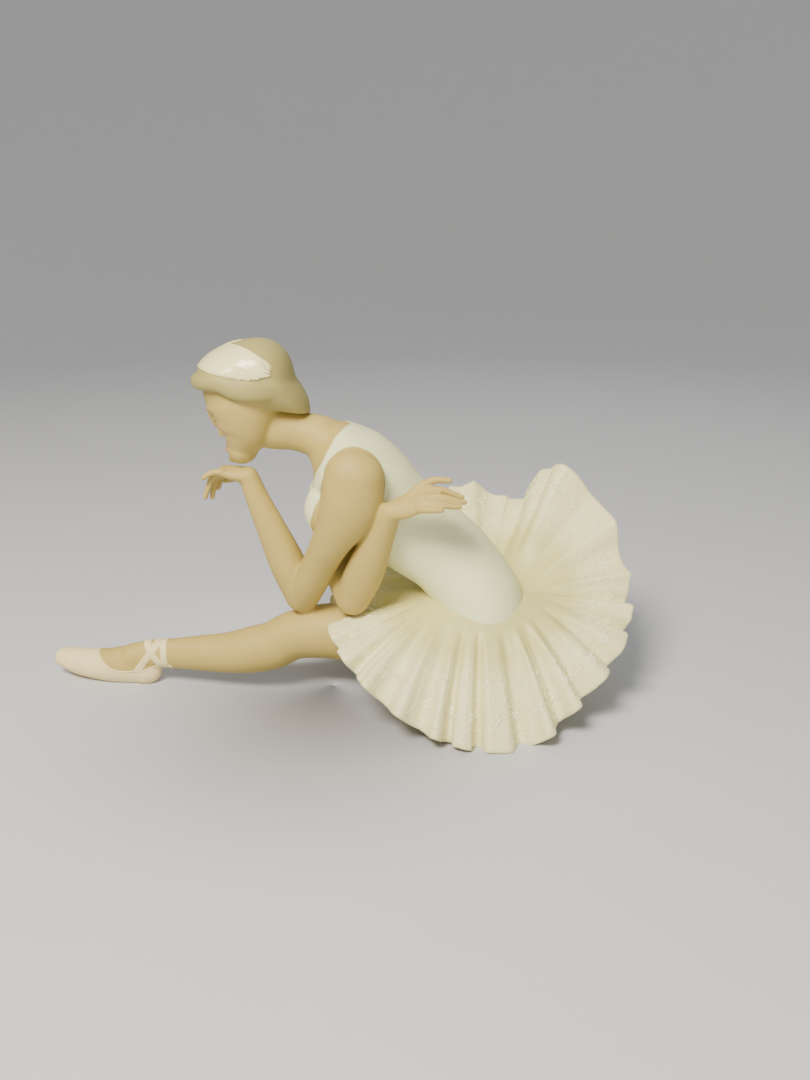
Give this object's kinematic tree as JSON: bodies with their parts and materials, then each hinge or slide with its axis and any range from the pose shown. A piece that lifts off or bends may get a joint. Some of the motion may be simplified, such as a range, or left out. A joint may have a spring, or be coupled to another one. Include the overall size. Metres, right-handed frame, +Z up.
{
  "type": "figurine",
  "caption": "Porcelain figurine of a seated ballerina leaning over one stretched leg, chin on her hand, in a leotard and a pleated tutu.",
  "frame": {"origin": "middle of the footprint's box, on the surface that the figurine stands on", "axes": "+Z up, +X from the stretched foot towards the back of the tutu, so the dancer faces -X and her left side is -Y"},
  "size_m": [0.3192, 0.1554, 0.1918],
  "materials": {
    "bisque_porcelain": "matt fired bisque, warm cream"
  },
  "bodies": {
    "root": {"ballerina_figurine": "bisque_porcelain"}
  },
  "joints": []
}
